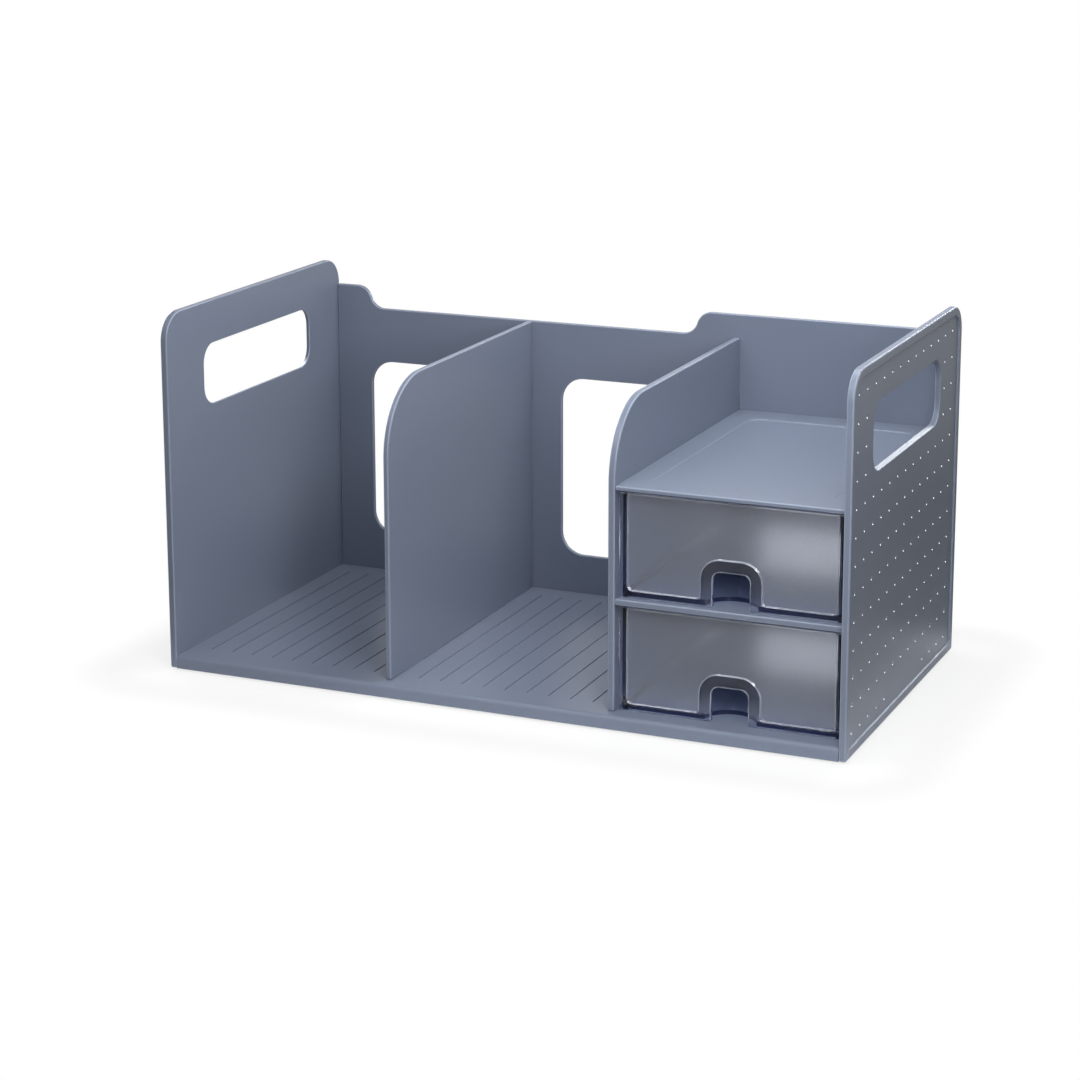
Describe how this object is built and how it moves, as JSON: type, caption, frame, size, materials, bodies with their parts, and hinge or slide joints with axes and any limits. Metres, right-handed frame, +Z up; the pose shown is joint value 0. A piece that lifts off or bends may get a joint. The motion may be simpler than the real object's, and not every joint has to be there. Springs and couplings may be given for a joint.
{
  "type": "desktop book rack",
  "caption": "Desktop book rack with open grooved book bays, clear pull-out drawers under a tray shelf, and end panels with hand slots.",
  "frame": {"origin": "on the desk, under the middle of the rack's width and depth", "axes": "+X to the rack's right as seen from the front, where the drawers are, +Y to the back, +Z up"},
  "size_m": [0.4, 0.208, 0.2055],
  "materials": {
    "shell": "moulded, semi-gloss grey blue",
    "clear_drawer": "smoky clear moulding with a frosted front field",
    "rubber": "matt dark rubber"
  },
  "bodies": {
    "rack": {"base_plate": "shell", "left_end_panel": "shell", "right_end_panel": "shell", "back_panel": "shell", "centre_divider": "shell", "cabinet_wall": "shell", "middle_shelf": "shell", "top_shelf": "shell", "front_left_foot": "rubber", "front_middle_foot": "rubber", "front_right_foot": "rubber", "rear_left_foot": "rubber", "rear_middle_foot": "rubber", "rear_right_foot": "rubber"},
    "upper_drawer": {"upper_drawer": "clear_drawer"},
    "lower_drawer": {"lower_drawer": "clear_drawer"}
  },
  "joints": [
    {"name": "upper_drawer_slide", "type": "slide", "parent": "rack", "child": "upper_drawer", "axis": [0, -1, 0], "range_m": [0, 0.15]},
    {"name": "lower_drawer_slide", "type": "slide", "parent": "rack", "child": "lower_drawer", "axis": [0, -1, 0], "range_m": [0, 0.15]}
  ]
}
